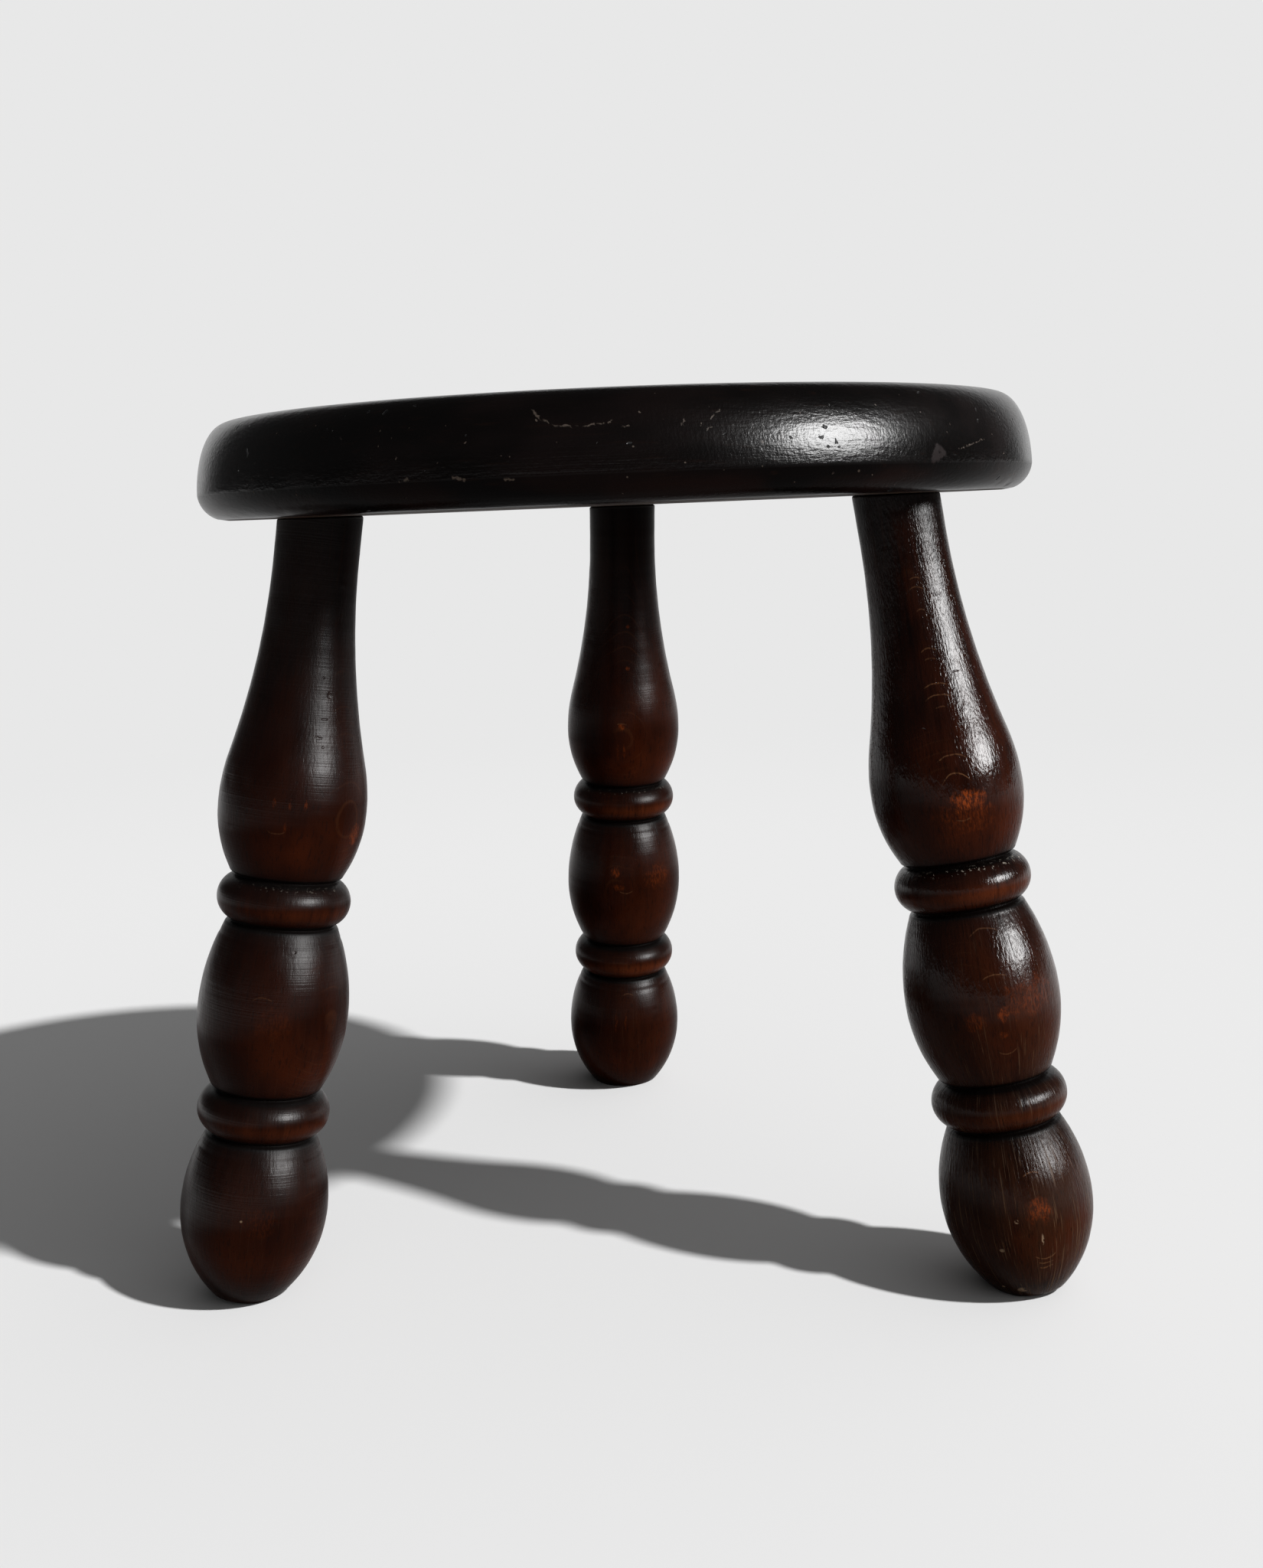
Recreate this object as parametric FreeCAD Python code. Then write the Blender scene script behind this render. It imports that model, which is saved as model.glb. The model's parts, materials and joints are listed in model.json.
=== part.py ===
"""Low tripod stool: a round plank seat on three turned legs, staked through the seat and wedged.

Millimetres, +Z up. The origin is on the floor under the middle of the seat.
+Y points to the rear leg, and the other two legs stand at the left (-X) and right (+X) of the front.
"""
import FreeCAD
import Part
import math
import os

Vector = FreeCAD.Vector

# Seat: a flat round board with a long soft round above its widest line and a short one below it
SEAT_DIAMETER = 278.0
SEAT_THICKNESS = 30.5
SEAT_LOWER_ROUND = 5.8
SEAT_UPPER_ROUND_RISE = 24.0
SEAT_UPPER_ROUND_REACH = 10.8

# Places of the legs: the inset runs from the seat's widest line to a socket's middle on the underside
SOCKET_INSET = 35.0
FRONT_LEG_SPLAY_DEG = 9.9
FRONT_LEG_SPREAD_DEG = 120.0
# The rear socket was bored by eye: it sits a little to the left, and its leg is steeper and leans that way
REAR_SOCKET_SHIFT_DEG = 2.4
REAR_LEG_SPLAY_DEG = 4.6
REAR_LEG_LEAN_DEG = 2.2

# Turned leg: lengths run down the leg's axis from the seat's underside
NECK_DIAMETER = 26.6
NECK_LENGTH = 12.0
SHOULDER_ROUND = 0.8
FLARE_LENGTH = 80.6
VASE_BROW_LENGTH = 16.0
VASE_DIAMETER = 46.8
VASE_FALL = 21.5
GROOVE_DIAMETER = 35.4
GROOVE_WIDTH = 1.6
GROOVE_CUT = 1.2
RING_DIAMETER = 42.4
RING_WIDTH = 13.2
BARREL_RISE = 28.7
BARREL_DIAMETER = 48.0
BARREL_FALL = 24.7
FOOT_RISE = 24.1
FOOT_DIAMETER = 47.4
FOOT_FALL = 30.8
FOOT_END_DIAMETER = 19.4
# Length sawn off the front feet to level the stool, whose floor line then also cuts the rear foot
FOOT_TRIM = 1.0

# Joint: a round tenon passes through the seat, and a wedge driven across the seat's grain spreads it
TENON_DIAMETER = 21.0
TENON_CLEARANCE = 0.1
SHOULDER_CLEARANCE = 0.05
WEDGE_HEAD_THICKNESS = 3.6
WEDGE_TIP_THICKNESS = 1.2
WEDGE_TIP_HEIGHT = 8.0
KERF_PAST_WEDGE = 3.0

# Sizes that follow from those above
SEAT_RADIUS = SEAT_DIAMETER / 2
SOCKET_RADIUS = SEAT_RADIUS - SOCKET_INSET
NECK_RADIUS = NECK_DIAMETER / 2
GROOVE_RADIUS = GROOVE_DIAMETER / 2
TENON_RADIUS = TENON_DIAMETER / 2
VASE_DEPTH = NECK_LENGTH + FLARE_LENGTH
UPPER_GROOVE_DEPTH = VASE_DEPTH + VASE_FALL
FOOT_GROOVE_DEPTH = UPPER_GROOVE_DEPTH + 3 * GROOVE_WIDTH + 2 * RING_WIDTH + BARREL_RISE + BARREL_FALL
LATHE_END_DEPTH = FOOT_GROOVE_DEPTH + GROOVE_WIDTH + FOOT_RISE + FOOT_FALL
LEG_LENGTH = LATHE_END_DEPTH - FOOT_TRIM
SEAT_UNDERSIDE = LEG_LENGTH * math.cos(math.radians(FRONT_LEG_SPLAY_DEG))
SEAT_TOP = SEAT_UNDERSIDE + SEAT_THICKNESS
SHOULDER_HEIGHT = SEAT_UNDERSIDE - SHOULDER_CLEARANCE
# The tenon is left long, and is sawn flush with the seat's top once it is wedged
TENON_BLANK_HEIGHT = 2 * SEAT_THICKNESS
REACH = SEAT_DIAMETER + LEG_LENGTH


class Leg:
    """Where one leg stands: its socket on the seat's underside and the upward direction of its axis."""

    def __init__(self, name, azimuth_deg, splay_deg, lean_deg):
        azimuth = math.radians(azimuth_deg)
        outward = Vector(math.cos(azimuth), math.sin(azimuth), 0)
        sideways = Vector(-math.sin(azimuth), math.cos(azimuth), 0)
        splay = math.tan(math.radians(splay_deg))
        lean = math.tan(math.radians(lean_deg))
        self.name = name
        self.socket = outward * SOCKET_RADIUS + Vector(0, 0, SEAT_UNDERSIDE)
        self.axis = (Vector(0, 0, 1) - outward * splay - sideways * lean).normalize()
        self.tilt = self.axis.getAngle(Vector(0, 0, 1))

    def place(self, shape):
        """Move a shape drawn about the Z axis, with its socket at the origin, to this leg."""
        across_grain = Vector(0, 1, 0)
        turn = FreeCAD.Rotation(Vector(), across_grain, self.axis, "ZYX")
        shape.Placement = FreeCAD.Placement(self.socket, turn)
        return shape


def point(radius, depth):
    """A point of a turned outline: its distance from the axis and its depth below the socket."""
    return Vector(radius, 0, -depth)


def line(start, end):
    return Part.LineSegment(start, end).toShape()


def crest_arc(crest, end):
    """An arc that runs along the axis at a crest, or at a hollow's deepest line, and stops at the end."""
    along = end.z - crest.z
    drop = crest.x - end.x
    radius = (along ** 2 + drop ** 2) / (2 * drop)
    half_turn = math.atan(drop / along)
    middle = crest + Vector(radius * (math.cos(half_turn) - 1), 0, radius * math.sin(half_turn))
    return Part.Arc(crest, middle, end).toShape()


def bulb(start, crest, end):
    """A turned swelling: two arcs that meet smoothly at its crest."""
    return [crest_arc(crest, start), crest_arc(crest, end)]


def flare(start, crest):
    """A hollow arc that leaves the straight neck and turns smoothly into a rounded brow."""
    brow_drop = VASE_BROW_LENGTH * (crest.x - start.x) / (start.z - crest.z)
    bend = crest + Vector(-brow_drop, 0, VASE_BROW_LENGTH)
    return [crest_arc(start, bend), crest_arc(crest, bend)]


def quarter_round(start, corner, end):
    """A quarter of an ellipse that touches both lines of a square corner."""
    curve = Part.BezierCurve()
    curve.setPoles([start, corner, end])
    curve.setWeight(2, math.sqrt(0.5))
    return curve.toShape()


def turned(edges):
    """A solid of revolution about the Z axis from a closed outline."""
    return Part.Face(Part.Wire(edges)).revolve(Vector(), Vector(0, 0, 1), 360)


def neck():
    """Outline of the straight neck, long enough to be scribed to the seat's underside."""
    blank_top = point(NECK_RADIUS, -NECK_RADIUS)
    return [
        line(point(0, -NECK_RADIUS), blank_top),
        line(blank_top, point(NECK_RADIUS, NECK_LENGTH)),
    ]


def vase():
    """Outline of the flare and the vase that hangs from the neck."""
    crest = point(VASE_DIAMETER / 2, VASE_DEPTH)
    edges = flare(point(NECK_RADIUS, NECK_LENGTH), crest)
    edges.append(crest_arc(crest, point(GROOVE_RADIUS, UPPER_GROOVE_DEPTH)))
    return edges


def groove(depth):
    """Outline of a V cut with its upper lip at a depth."""
    lips = point(GROOVE_RADIUS, depth), point(GROOVE_RADIUS, depth + GROOVE_WIDTH)
    bottom = point(GROOVE_RADIUS - GROOVE_CUT, depth + GROOVE_WIDTH / 2)
    return [line(lips[0], bottom), line(bottom, lips[1])]


def swelling(groove_depth, rise, diameter, fall):
    """Outline of a groove and of the ring or barrel below it."""
    start_depth = groove_depth + GROOVE_WIDTH
    start = point(GROOVE_RADIUS, start_depth)
    crest = point(diameter / 2, start_depth + rise)
    end = point(GROOVE_RADIUS, start_depth + rise + fall)
    return groove(groove_depth) + bulb(start, crest, end)


def rings_and_barrel():
    """Outline of the barrel and of the ring above and below it."""
    half_ring = RING_WIDTH / 2
    edges = []
    depth = UPPER_GROOVE_DEPTH
    for rise, diameter, fall in (
        (half_ring, RING_DIAMETER, half_ring),
        (BARREL_RISE, BARREL_DIAMETER, BARREL_FALL),
        (half_ring, RING_DIAMETER, half_ring),
    ):
        edges += swelling(depth, rise, diameter, fall)
        depth += GROOVE_WIDTH + rise + fall
    return edges


def foot():
    """Outline of the lowest groove, the onion-shaped foot and its end face, back to the axis."""
    start = point(GROOVE_RADIUS, FOOT_GROOVE_DEPTH + GROOVE_WIDTH)
    crest = point(FOOT_DIAMETER / 2, LATHE_END_DEPTH - FOOT_FALL)
    lathe_end = point(FOOT_END_DIAMETER / 2, LATHE_END_DEPTH)
    end_face = line(lathe_end, point(0, LATHE_END_DEPTH))
    return groove(FOOT_GROOVE_DEPTH) + bulb(start, crest, lathe_end) + [end_face]


def wedge_blank(leg):
    """A wedge across the tenon, wider and longer than it, whose sides taper down to the tip."""
    head_height = SEAT_THICKNESS / math.cos(leg.tilt)
    taper = (WEDGE_HEAD_THICKNESS - WEDGE_TIP_THICKNESS) / (head_height - WEDGE_TIP_HEIGHT)
    top_half = (WEDGE_HEAD_THICKNESS + taper * (TENON_BLANK_HEIGHT - head_height)) / 2
    tip_half = WEDGE_TIP_THICKNESS / 2
    corners = [
        Vector(-tip_half, -TENON_DIAMETER, WEDGE_TIP_HEIGHT),
        Vector(tip_half, -TENON_DIAMETER, WEDGE_TIP_HEIGHT),
        Vector(top_half, -TENON_DIAMETER, TENON_BLANK_HEIGHT),
        Vector(-top_half, -TENON_DIAMETER, TENON_BLANK_HEIGHT),
    ]
    side = Part.Face(Part.makePolygon(corners + corners[:1]))
    return side.extrude(Vector(0, 2 * TENON_DIAMETER, 0))


def kerf(leg):
    """The sawn slot in the tenon, spread by the wedge and a little deeper than it."""
    corner = Vector(-WEDGE_TIP_THICKNESS / 2, -TENON_DIAMETER, WEDGE_TIP_HEIGHT - KERF_PAST_WEDGE)
    saw_cut = Part.makeBox(WEDGE_TIP_THICKNESS, 2 * TENON_DIAMETER, KERF_PAST_WEDGE, corner)
    return wedge_blank(leg).fuse(saw_cut)


def level(shape, top):
    """Saw a placed piece level with the floor and at a height."""
    slab = Part.makeBox(2 * REACH, 2 * REACH, top, Vector(-REACH, -REACH, 0))
    return shape.common(slab)


def scribed(shape):
    """Cut a placed leg to lie flat under the seat, and round the rim of the shoulder this leaves."""
    fitted = level(shape, SHOULDER_HEIGHT)
    tolerance = SHOULDER_CLEARANCE / 2
    rim = [edge for edge in fitted.Edges if edge.BoundBox.ZMin > SHOULDER_HEIGHT - tolerance]
    return fitted.makeFillet(SHOULDER_ROUND, rim)


def make_leg(leg):
    """One turned leg with its slotted tenon."""
    axis_line = line(point(0, LATHE_END_DEPTH), point(0, -NECK_RADIUS))
    outline = neck() + vase() + rings_and_barrel() + foot() + [axis_line]
    body = scribed(leg.place(turned(outline)))
    tenon = Part.makeCylinder(TENON_RADIUS, NECK_LENGTH + TENON_BLANK_HEIGHT, point(0, NECK_LENGTH))
    return level(body.fuse(leg.place(tenon)).cut(leg.place(kerf(leg))), SEAT_TOP)


def make_wedge(leg):
    """The wedge that fills the slot of one tenon, with its edges trimmed to the tenon's round."""
    tenon = Part.makeCylinder(TENON_RADIUS, TENON_BLANK_HEIGHT)
    return level(leg.place(wedge_blank(leg).common(tenon)), SEAT_TOP)


def make_socket(leg):
    """The slanted hole for one tenon, longer than the seat is thick."""
    hole = Part.makeCylinder(TENON_RADIUS + TENON_CLEARANCE, 3 * SEAT_THICKNESS, point(0, SEAT_THICKNESS))
    return leg.place(hole)


def make_seat(legs):
    """The round seat board with its sockets."""
    side_foot = Vector(SEAT_RADIUS, 0, SEAT_UNDERSIDE + SEAT_LOWER_ROUND)
    side_head = Vector(SEAT_RADIUS, 0, SEAT_TOP - SEAT_UPPER_ROUND_RISE)
    under_middle = Vector(0, 0, SEAT_UNDERSIDE)
    under_rim = Vector(SEAT_RADIUS - SEAT_LOWER_ROUND, 0, SEAT_UNDERSIDE)
    top_middle = Vector(0, 0, SEAT_TOP)
    top_rim = Vector(SEAT_RADIUS - SEAT_UPPER_ROUND_REACH, 0, SEAT_TOP)
    board = turned([
        line(under_middle, under_rim),
        quarter_round(under_rim, Vector(SEAT_RADIUS, 0, SEAT_UNDERSIDE), side_foot),
        line(side_foot, side_head),
        quarter_round(side_head, Vector(SEAT_RADIUS, 0, SEAT_TOP), top_rim),
        line(top_rim, top_middle),
        line(top_middle, under_middle),
    ])
    return board.cut([make_socket(leg) for leg in legs])


def build():
    """All pieces of the stool by name."""
    legs = [
        Leg("rear", 90.0 + REAR_SOCKET_SHIFT_DEG, REAR_LEG_SPLAY_DEG, REAR_LEG_LEAN_DEG),
        Leg("left", 90.0 + FRONT_LEG_SPREAD_DEG, FRONT_LEG_SPLAY_DEG, 0.0),
        Leg("right", 90.0 - FRONT_LEG_SPREAD_DEG, FRONT_LEG_SPLAY_DEG, 0.0),
    ]
    pieces = {"seat": make_seat(legs)}
    for leg in legs:
        pieces["leg_" + leg.name] = make_leg(leg)
        pieces["wedge_" + leg.name] = make_wedge(leg)
    return pieces


os.makedirs("parts", exist_ok=True)
for name, shape in build().items():
    shape.exportStep("parts/" + name + ".step")
    state = "valid" if shape.isValid() else "invalid"
    print(name, len(shape.Solids), "solid", round(shape.Volume), "mm3", state)
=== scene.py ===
"""Looks of the tripod stool: fine meshes over the fixed solids, stained wood, floor, light and camera."""
import json
import math
import bpy
import numpy as np
from mathutils import Matrix, Vector


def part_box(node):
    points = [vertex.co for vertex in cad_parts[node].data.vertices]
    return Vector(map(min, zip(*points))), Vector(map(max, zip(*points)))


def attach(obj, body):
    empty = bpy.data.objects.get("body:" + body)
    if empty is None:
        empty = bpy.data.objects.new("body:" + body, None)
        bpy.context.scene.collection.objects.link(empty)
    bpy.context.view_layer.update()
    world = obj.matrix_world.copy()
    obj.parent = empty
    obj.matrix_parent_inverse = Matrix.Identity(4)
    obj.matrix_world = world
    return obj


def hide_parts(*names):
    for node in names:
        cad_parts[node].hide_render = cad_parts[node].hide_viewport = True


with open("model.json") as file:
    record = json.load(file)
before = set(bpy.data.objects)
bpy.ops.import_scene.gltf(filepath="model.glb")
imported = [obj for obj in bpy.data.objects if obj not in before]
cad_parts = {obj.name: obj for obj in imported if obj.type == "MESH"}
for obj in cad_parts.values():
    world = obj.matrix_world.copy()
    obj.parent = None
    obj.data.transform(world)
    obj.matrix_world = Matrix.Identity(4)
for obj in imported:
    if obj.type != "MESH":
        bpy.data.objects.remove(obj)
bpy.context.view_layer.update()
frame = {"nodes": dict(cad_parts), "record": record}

MM = 0.001
SEED = 1897
SIDES = ("rear", "left", "right")
BODY = "root"

# Camera: where the photograph was taken from, as a lens on a sensor of the usual height
CAMERA_PLACE = (0.03730, -0.55905, 0.24949)
CAMERA_TURN_DEG = (80.2146, 2.2934, 3.2676)
LENS_MM = 36.825
SENSOR_HEIGHT_MM = 36.0

# Lamps, each at an azimuth and an elevation: a low soft box and a weak lamp behind for the stool, and a sun
# for the floor and the shadow on it
SUN_TURN_DEG = (-22.5, 45.5)
SUN_SIZE_DEG = 2.5
SUN_STRENGTH = 3.62
BOX_TURN_DEG = (-27.0, 20.5)
BOX_DISTANCE = 6.0
BOX_WIDTH = 2.9
BOX_HEIGHT = 1.8
BOX_WATTS = 360.0
BACK_TURN_DEG = (125.0, 35.0)
BACK_WATTS = 100.0
BOX_AIM = (0, 0, 0.15)

# Floor and room: pale floor and wall, dim elsewhere, what the floor gives diffuse rays, and a soft fill
FLOOR_SIZE = 60.0
FLOOR_COLOUR = 0.807
FLOOR_BOUNCE = 0.15
FLOOR_LIT_TO = 0.45
FLOOR_EVEN_FROM = 1.3
WALL_TURN_DEG = (92.0, 8.0)
WALL_REACH_DEG = 28.5
WALL_FADED_DEG = 45.0
ROOM_DIM = 0.04
ROOM_FILL = 0.26
FILL_FROM_X = -0.6
FILL_GAIN_RIGHT = 2.6

# Meshes: their fineness, and the limits by which the fixed solids are read
RING_STEP = 0.6 * MM
LEG_SEGMENTS = 144
SEAT_SEGMENTS = 900
SOCKET_SEGMENTS = 96
FLAT_RING_FIRST = 1.5 * MM
FLAT_RING_STEP = 4.0 * MM
GROOVE_RINGS = np.arange(-2.0, 2.0, 0.2) * MM
SHOULDER_RINGS = np.array([0.8, 0.55, 0.35, 0.18, 0.06, 0.0]) * MM
CLOSEST_RINGS = 0.05 * MM
SHARP_EDGE_DEG = 50
LEVEL_TOL = 0.02 * MM
OUTLINE_TOL = 0.03 * MM
EDGE_TURN_TOL = 2e-4
HEAD_ZONE = 1.0 * MM
NECK_ZONE = 3.0 * MM
TIP_ZONE = 0.5 * MM
EDGE_ZONE = 14.0 * MM
EDGE_PIVOT = 20.0 * MM
TURNED_OVER_TENON = 1.05
GROOVE_UNDER_TENON = 1.65
SLOPE_SMOOTHING = np.full(5, 0.2)

# Joints: the rounded and scribed shoulder, the eased head of the tenon, its slot and its socket
SHOULDER_ROUND = 0.8 * MM
SCRIBED_OVER = 9.0 * MM
HEAD_EASED = 0.35 * MM
HEAD_SHARE = 0.97
SLOT_SLACK = 0.03 * MM
SLOT_OVER = 3.0 * MM
SOCKET_SLACK = 0.12 * MM
SOCKET_BELOW = 8.0 * MM
SOCKET_ABOVE = 60.0 * MM

# Handwork: length and height of the tool's ripples in mm, a line scribed on each bulb, shrinkage and knocks
TOOL_RIPPLES_MM = ((9.7, 0.014), (4.3, 0.005), (1.9, 0.002))
PHASE_RANGE = 6.28
OVAL_TURN_RANGE = 3.14
OVAL_SHRINKAGE = 0.0035
SCRIBED_LINE = {"rear": 0.15 * MM, "left": 0.15 * MM, "right": 0.02 * MM}
SCRIBED_BELOW = 4.6 * MM
SCRIBED_HALF = 0.7 * MM
SLOW_RISE = 0.09 * MM
FINE_RISE = 0.008 * MM
STEADY_AT_SEAT = 4.0 * MM
KNOCKS = 60
KNOCK_SIZE_MM = (0.6, 2.0)
KNOCK_LENGTH = (0.4, 1.6)
KNOCK_DEPTH_MM = (0.03, 0.12)

# Wear of the seat's shape: its rubbed lower edge, chips along that edge, and a top that isn't quite flat
RUBBED_ROUND = 9.0 * MM
EDGE_BLEND = 5.0 * MM
CHIP_DEPTH = 0.9 * MM
CHIP_ABOVE = 1.2 * MM
CHIP_HALF = 1.6 * MM
CHIP_CELL = 4.0 * MM
CHIPPED_STRETCH = 45.0 * MM
TOP_WEAR = 0.10 * MM
TOP_CELL = 40.0 * MM

# Wear of the legs, with painted light and shade: dirt and painted shade in the grooves and on the neck below
# the seat, reaching farther down where the bulb above shades the wood; rubbed swellings, warmer on their
# lower sides with painted light from the floor; ring lips paler from rubbed stain and painted floor light; a
# flaked brow
DIRT_SHADE_CORE = 1.3 * MM
DIRT_SHADE_BELOW = 4.8 * MM
DIRT_SHADE_ABOVE = 1.6 * MM
DIRT_SHADE_SPREAD = 0.75
DIRT_SHADE_AT_SEAT = 0.9
DIRT_SHADE_FROM_SEAT = 22.0 * MM
RUB_FROM = 1.5
RUB_RANGE = 0.55
# Painted light from the floor on the swellings' lower sides: the slope at which it starts and the slope over
# which it grows
UNDER_LEAD = 0.03
UNDER_RANGE = 0.30
# Ring lips, paler from rubbed stain and painted floor light: their place up each ring and half width, as
# shares of the ring
LIP_AT = 0.36
LIP_HALF = 0.17
BROW_BELOW = 1.7 * MM
BROW_HALF = 0.7 * MM
WORN_FROM = 112.0 * MM
WORN_FULL = 226.0 * MM

# Polish: how far a surface must lean up to begin to shine, the lean over which it grows, and the share below
DULL_LEAN_TOP = -0.12
DULL_LEAN_FOOT = 0.02
POLISH_BLEND = 0.38
LEG_DULL_SHARE = 0.09
SEAT_DULL_LEAN = -0.10
SEAT_POLISH_BLEND = 0.34
SEAT_DULL_SHARE = 0.06
SEAT_SHEEN = 0.48
WOOD_IOR = 1.5

# Growth layers of the legs and the plank, the arcs they leave on a leg's face, and where the plank's pith lay
LAYER_STEP = 0.85 * MM
LAYER_BEND = 4.0 * MM
LAYER_LINES = 0.25
LEG_GIRTH = 20.0 * MM
ARC_TURN_DEG = 2.0
ARC_DRIFT_DEG = -0.05
ARC_HALF = 0.30 * MM
PITH_ASIDE = 16.0 * MM
PITH_BELOW = 48.0 * MM
PLANK_LAYER = 4.6 * MM
PLANK_BEND = 0.03

# Relief that is too fine for the meshes, as heights of the bump
RIDGE_RELIEF = 0.02 * MM
PORE_RELIEF = -0.01 * MM
DENT_RELIEF = -0.12 * MM
GRAIN_RELIEF = 0.09 * MM
SKIN_RELIEF = 0.065 * MM
PIT_RELIEF = -0.18 * MM
WEDGE_RELIEF = 0.1 * MM

# Noise in the wood: features per metre, along each axis where the grain stretches them
LEG_NOISE = {
    "layers": dict(stretch=(26, 26, 9)),
    "cloud": dict(stretch=(48, 48, 34), detail=3.0),
    "streak": dict(stretch=(420, 420, 22), detail=3.0, rough=0.6),
    "dash": dict(stretch=(1500, 1500, 300), rough=0.6),
    "mottle": dict(stretch=(110, 110, 60), detail=3.0, shift=(0.4, 0.2, 0.0)),
    "fleck": dict(stretch=(1900, 1900, 620), detail=3.0, rough=0.65, turn=(0.1, 0.1, 0)),
    "nick": dict(stretch=(2300, 2300, 75), turn=(0.03, 0.02, 0)),
    "buffing": dict(stretch=(130, 130, 70), detail=3.0),
    "ridge": dict(stretch=(1500, 1500, 110), detail=3.0, rough=0.65),
    "crackle": dict(stretch=(1300, 1300, 420), rough=0.6, turn=(0.15, 0.1, 0)),
    "tooling": dict(stretch=(12, 12, 1900)),
}
SEAT_NOISE = {
    "layers": dict(stretch=(4, 13, 13)),
    "grain": dict(stretch=(9, 420, 900), detail=3.0, rough=0.6),
    "cloud": dict(stretch=(22, 40, 60), detail=3.0),
    "skin": dict(stretch=(1150, 1150, 800), rough=0.6),
}
WEDGE_NOISE = dict(stretch=(900, 160, 160), detail=3.0, rough=0.6)
STRAY_SCALE = 260.0
FRAY_SCALE = 420.0
RAGGED_SCALE = 900.0
SPECK_SCALE = 950.0
FLECK_SCALE = 520.0
PIT_SCALE = 330.0
EDGE_STRAY_SCALE = 800.0
MARK_STRAY = 0.55 * MM
MARK_FRAY = 1.5
EDGE_STRAY = 1.6 * MM

# Colours of the stained wood and of its marks
LEG_COLOURS = {
    "dark": (0.0046, 0.0010, 0.0005, 1),
    "light": (0.031, 0.0064, 0.0021, 1),
    # warm: rubbed swellings, with painted light from the floor on their lower sides
    "warm": (0.044, 0.0080, 0.0020, 1),
    # ring lips: stain rubbed through, and painted light thrown up from the floor on the lower half of each
    # ring
    "lip": (0.105, 0.0220, 0.0065, 1),
    "bare": (0.031, 0.0130, 0.0060, 1),
    "layer": (0.060, 0.0200, 0.0075, 1),
    "glow": (0.29, 0.052, 0.008, 1),
    "arc": (0.125, 0.054, 0.024, 1),
    "pore": (0.0040, 0.0018, 0.0013, 1),
    "scratch": (0.115, 0.062, 0.033, 1),
    # near black: dirt and painted shade in the grooves and on the necks below the seat
    "dirt_and_shade": (0.0022, 0.0014, 0.0012, 1),
    "chip": (0.36, 0.24, 0.15, 1),
    "flake": (0.33, 0.29, 0.24, 1),
}
SEAT_COLOURS = {
    "dark": (0.0014, 0.0008, 0.0007, 1),
    "light": (0.0048, 0.0023, 0.0021, 1),
    "grain": (0.0085, 0.0032, 0.0020, 1),
    "top_early": (0.030, 0.0120, 0.0062, 1),
    "top_late": (0.0090, 0.0036, 0.0024, 1),
    "top_grain": (0.0040, 0.0022, 0.0016, 1),
    "raw_early": (0.034, 0.0190, 0.0110, 1),
    "raw_late": (0.0140, 0.0080, 0.0052, 1),
    "low_edge": (0.0150, 0.0045, 0.0025, 1),
    "patch": (0.017, 0.0120, 0.0118, 1),
    "bare": (0.11, 0.083, 0.065, 1),
    "pit": (0.0012, 0.0010, 0.0012, 1),
}
WEDGE_DARK = (0.016, 0.0070, 0.0042, 1)
WEDGE_LIGHT = (0.060, 0.022, 0.009, 1)

# How each leg's wood lies and how it has worn: where its bark side faces, and the strength of each mark
LEG_FIGURE = {
    "rear": dict(
        face_deg=0, pith=0.012, shift=0.31, light=0.45, tone=1.2, lip=0.8, worn=0.1, flaked=0.15,
        crackle=0.04, tooling=0.03, gloss=0.24, sheen=0.22, dull_neck=0.0,
    ),
    "left": dict(
        face_deg=-60, pith=0.014, shift=0.0, light=0.28, tone=0.75, lip=0.32, worn=0.08, flaked=0.15,
        crackle=0.06, tooling=0.06, gloss=0.27, sheen=0.28, dull_neck=0.03,
    ),
    "right": dict(
        face_deg=8, pith=0.010, shift=0.73, light=0.85, tone=1.5, lip=0.9, worn=0.95, flaked=0.9,
        crackle=0.15, tooling=0.006, gloss=0.13, sheen=0.36, dull_neck=0.0,
    ),
}

# Marks round the seat's edge. Each runs from one place to another, in degrees round from +X and mm above the
# underside, and ends with its half width in mm.
SEAT_SCRATCHES = (
    (-95.0, 25.0, -94.0, 22.5, 0.5),
    (-93.8, 22.3, -92.4, 20.6, 0.37),
    (-92.4, 20.6, -89.5, 20.1, 0.34),
    (-89.5, 20.1, -86.2, 21.2, 0.31),
    (-85.2, 19.6, -84.4, 19.9, 0.31),
    (-110.4, 8.3, -109.4, 8.8, 0.5),
    (-104.0, 8.8, -102.6, 8.0, 0.56),
    (-98.0, 7.8, -97.2, 7.4, 0.5),
    (-78.6, 19.4, -78.4, 21.2, 0.37),
    (-76.0, 18.2, -75.4, 18.8, 0.3),
    (-75.4, 21.0, -74.4, 23.0, 0.3),
    (-41.6, 11.5, -35.5, 14.5, 0.28),
    (-113.2, 21.8, -113.2, 22.0, 0.31),
    (-66.0, 3.2, -66.0, 3.9, 0.31),
)
SEAT_PITS = (
    (-62.2, 18.3, -62.0, 18.0, 0.6),
    (-62.9, 15.5, -62.5, 15.4, 0.5),
    (-60.8, 14.4, -60.8, 13.8, 0.5),
    (-61.9, 12.9, -61.9, 12.8, 0.4),
    (-66.5, 15.6, -66.4, 15.6, 0.4),
    (-136.5, 19.5, -136.3, 18.6, 0.8),
)
WORN_PATCH = (
    (-45.7, 12.4, -46.6, 8.6, 1.2),
    (-45.7, 12.4, -44.4, 10.6, 1.2),
    (-46.6, 8.6, -44.4, 10.6, 1.2),
    (-45.8, 11.4, -45.8, 9.8, 1.3),
)

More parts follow.
